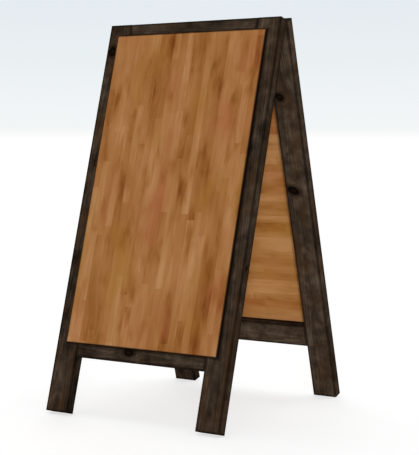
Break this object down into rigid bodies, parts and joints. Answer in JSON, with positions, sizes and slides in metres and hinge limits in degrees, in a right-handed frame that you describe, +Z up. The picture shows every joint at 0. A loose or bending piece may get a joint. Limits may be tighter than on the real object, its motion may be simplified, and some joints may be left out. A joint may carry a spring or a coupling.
{
  "type": "a-frame sign",
  "caption": "Free-standing timber pavement sign with framed boards hinged at the top, its legs spread like a tent and folding flat.",
  "frame": {"origin": "on the ground under the middle of the standing sign, halfway between the front and rear feet", "axes": "+X to the right of a viewer facing the front leaf, parallel to the hinge pins; +Y from the front leaf to the rear leaf; +Z up"},
  "size_m": [0.6, 0.7334, 1.161],
  "materials": {
    "frame_timber": "dark brown stain, oiled, satin",
    "front_board": "honey-coloured glued staves, upright grain, satin varnish",
    "rear_board": "honey-coloured glued staves, level grain, satin varnish",
    "dowel_beech": "plain",
    "black_screws": "black phosphate",
    "hinge_steel": "zinc plated",
    "zinc_screws": "zinc plated"
  },
  "bodies": {
    "front_leaf": {"front_left_stile": "frame_timber", "front_right_stile": "frame_timber", "front_top_rail": "frame_timber", "front_bottom_rail": "frame_timber", "front_panel": "front_board", "front_dowels": "dowel_beech", "front_panel_screws": "black_screws", "left_hinge_front_plate": "hinge_steel", "left_hinge_pin": "hinge_steel", "left_hinge_front_screws": "zinc_screws", "right_hinge_front_plate": "hinge_steel", "right_hinge_pin": "hinge_steel", "right_hinge_front_screws": "zinc_screws"},
    "rear_leaf": {"rear_left_stile": "frame_timber", "rear_right_stile": "frame_timber", "rear_top_rail": "frame_timber", "rear_bottom_rail": "frame_timber", "rear_panel": "rear_board", "rear_dowels": "dowel_beech", "rear_panel_screws": "black_screws", "left_hinge_rear_plate": "hinge_steel", "left_hinge_rear_screws": "zinc_screws", "right_hinge_rear_plate": "hinge_steel", "right_hinge_rear_screws": "zinc_screws"}
  },
  "joints": [
    {"name": "leaf_fold", "type": "hinge", "parent": "front_leaf", "child": "rear_leaf", "pos_m": [0, 0, 1.13381], "axis": [-1, 0, 0], "range_deg": [0, 32.98]}
  ]
}
